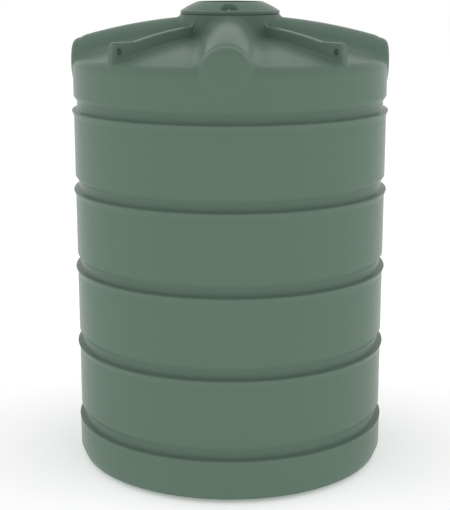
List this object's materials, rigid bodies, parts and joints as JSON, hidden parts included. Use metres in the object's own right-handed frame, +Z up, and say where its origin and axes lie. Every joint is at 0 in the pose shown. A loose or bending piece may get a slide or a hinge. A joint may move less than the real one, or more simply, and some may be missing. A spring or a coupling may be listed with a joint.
{
  "type": "round water tank",
  "caption": "Upright round plastic water tank with grooved wall, domed ribbed roof, lifting lugs, screened inlet, overflow and a low outlet with a ball valve.",
  "frame": {"origin": "centre of the underside of the base", "axes": "+Z up along the tank's axis; +Y towards the overflow and the outlet valve; -Y is the side that the picture shows"},
  "size_m": [1.4678, 1.5569, 2.156],
  "materials": {
    "tank_plastic": "moulded polyethylene, satin sheen, green-grey",
    "lid_plastic": "moulded polyethylene, satin sheen, green-grey",
    "black_rubber": "matte rubber",
    "stainless": "plain stainless steel",
    "stainless_mesh": "fine woven stainless mesh",
    "black_plastic": "moulded plastic",
    "white_pvc": "smooth moulded pipe plastic",
    "brass": "forged and turned brass",
    "white_nylon": "turned sealing plastic",
    "chromed_brass": "polished chrome plate",
    "grip_vinyl": "dipped vinyl sleeve"
  },
  "bodies": {
    "tank": {"tank_shell": "tank_plastic", "lid_ring": "lid_plastic", "lid_seal": "black_rubber", "lid_screws": "stainless", "strainer_basket": "black_plastic", "strainer_mesh": "stainless_mesh", "overflow_spigot": "white_pvc", "overflow_gasket": "black_rubber", "overflow_nut": "black_plastic", "overflow_screen": "stainless_mesh", "outlet_fitting": "brass", "outlet_gasket": "black_rubber", "outlet_washer": "white_nylon", "outlet_nut": "brass", "valve_body": "brass", "valve_end": "brass", "valve_seat_inner": "white_nylon", "valve_seat_outer": "white_nylon", "gland_packing": "white_nylon", "gland_nut": "brass"},
    "lever": {"valve_ball": "chromed_brass", "valve_stem": "brass", "valve_lever": "stainless", "lever_grip": "grip_vinyl", "lever_nut": "stainless"}
  },
  "joints": [
    {"name": "lever_turn", "type": "hinge", "parent": "tank", "child": "lever", "pos_m": [0, 0.786, 0.116], "axis": [0, 0, 1], "range_deg": [0, 90]}
  ]
}
